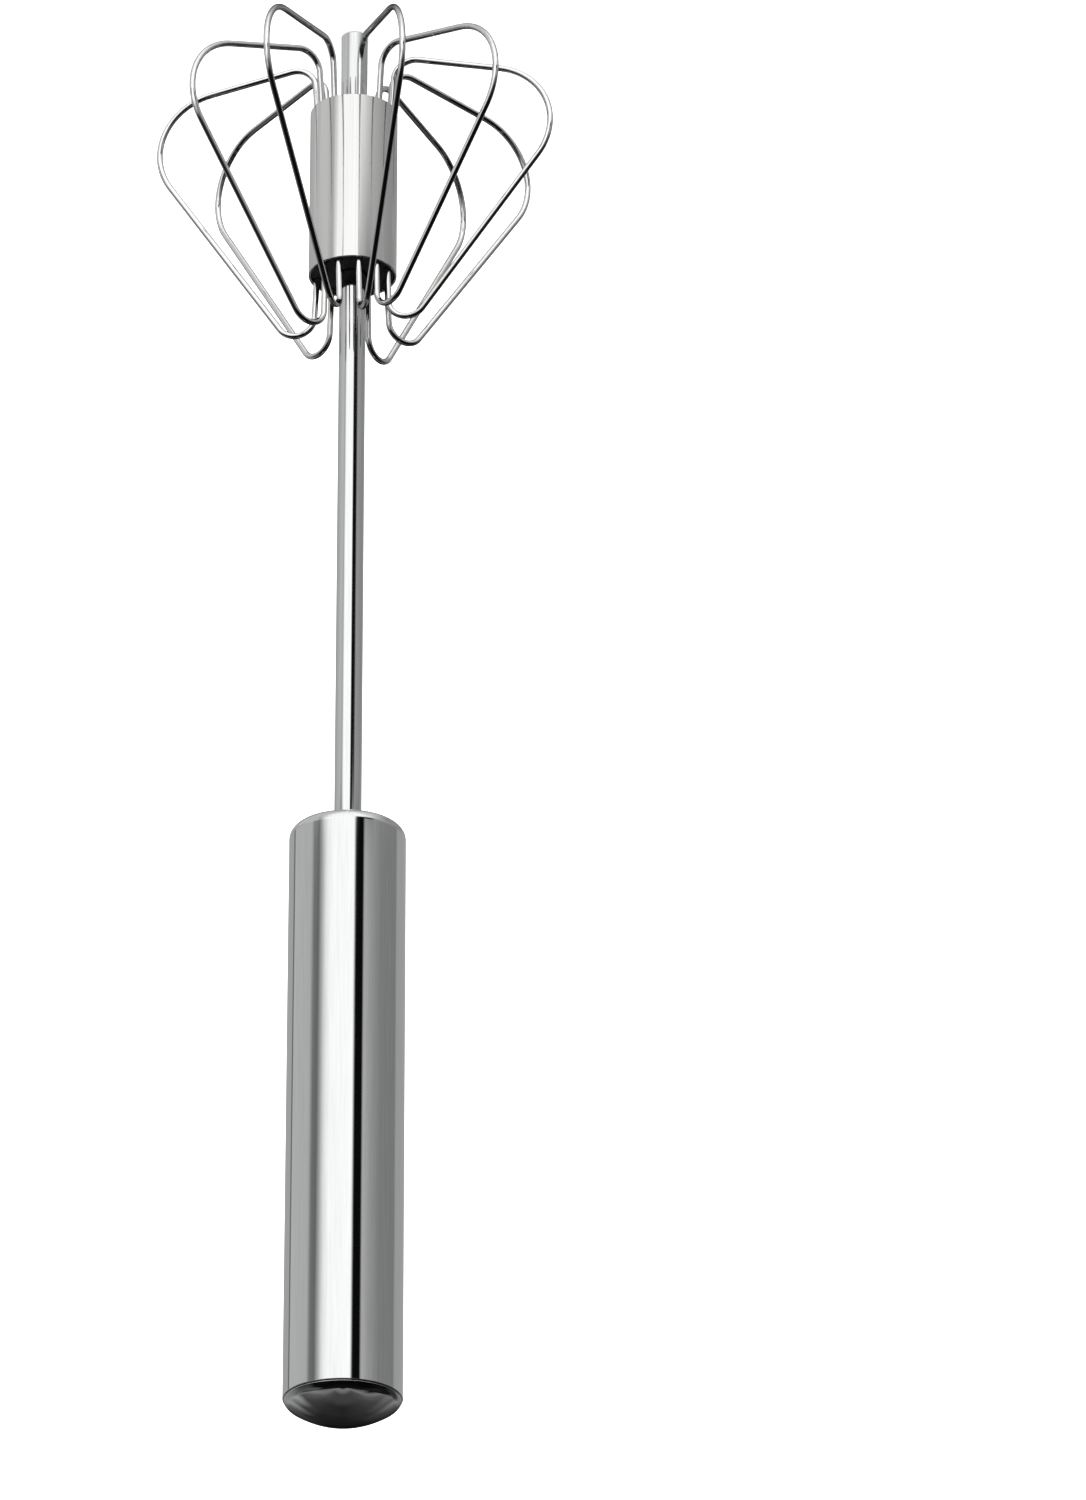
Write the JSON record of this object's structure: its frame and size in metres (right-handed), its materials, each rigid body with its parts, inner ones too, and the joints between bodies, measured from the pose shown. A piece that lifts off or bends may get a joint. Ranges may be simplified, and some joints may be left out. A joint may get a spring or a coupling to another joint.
{
  "type": "push whisk",
  "caption": "Push-down rotary whisk: a polished tube handle slides over a slim shaft, and a twisted rod inside spins a head of bent wire loops held in a steel sleeve.",
  "frame": {"origin": "centre of the flat end of the shaft's tip, which touches the bottom of the bowl", "axes": "+Z along the shaft from the tip through the handle to the end cap; the whisk stands upright as it is used, and it is round about Z apart from the loops' small bends; -Y is its front"},
  "size_m": [0.0886, 0.0912, 0.3302],
  "materials": {
    "mirror_stainless": "mirror polished stainless steel",
    "satin_stainless": "finely drawn bright stainless steel",
    "stainless_wire": "bright drawn stainless wire",
    "spring_steel": "plain bright spring steel",
    "black_nylon": "moulded black nylon, fine speckle",
    "white_acetal": "moulded natural acetal",
    "black_rubber": "black nitrile seal"
  },
  "bodies": {
    "handle": {"handle_shell": "mirror_stainless", "mouth_bush": "white_acetal", "end_cap": "mirror_stainless", "cap_gasket": "black_rubber", "cap_plug": "black_nylon", "rod_anchor": "spring_steel", "anchor_pin": "spring_steel", "spring_seat": "spring_steel", "return_spring": "spring_steel", "twist_rod": "spring_steel"},
    "carriage": {"thrust_washer": "spring_steel"},
    "whisk": {"shaft_tube": "mirror_stainless", "tip_plug": "mirror_stainless", "drive_nut": "white_acetal", "stop_collar": "spring_steel", "head_sleeve": "satin_stainless", "tip_side_hub": "black_nylon", "grip_side_hub": "black_nylon", "wire_loop_01": "stainless_wire", "wire_loop_02": "stainless_wire", "wire_loop_03": "stainless_wire", "wire_loop_04": "stainless_wire", "wire_loop_05": "stainless_wire", "wire_loop_06": "stainless_wire", "wire_loop_07": "stainless_wire", "wire_loop_08": "stainless_wire", "wire_loop_09": "stainless_wire", "wire_loop_10": "stainless_wire"}
  },
  "joints": [
    {"name": "push_stroke", "type": "slide", "parent": "handle", "child": "carriage", "axis": [0, 0, 1], "range_m": [0, 0.06], "stiffness_N_per_m": 120, "springref_m": -0.02, "deforming": ["return_spring"]},
    {"name": "whisk_spin", "type": "hinge", "parent": "carriage", "child": "whisk", "pos_m": [0, 0, 0.2], "axis": [0, 0, 1], "range_deg": [-2, 542]}
  ],
  "couplings": [
    {"joint": "whisk_spin", "follows": "push_stroke", "rad_per_m": 157.08}
  ]
}
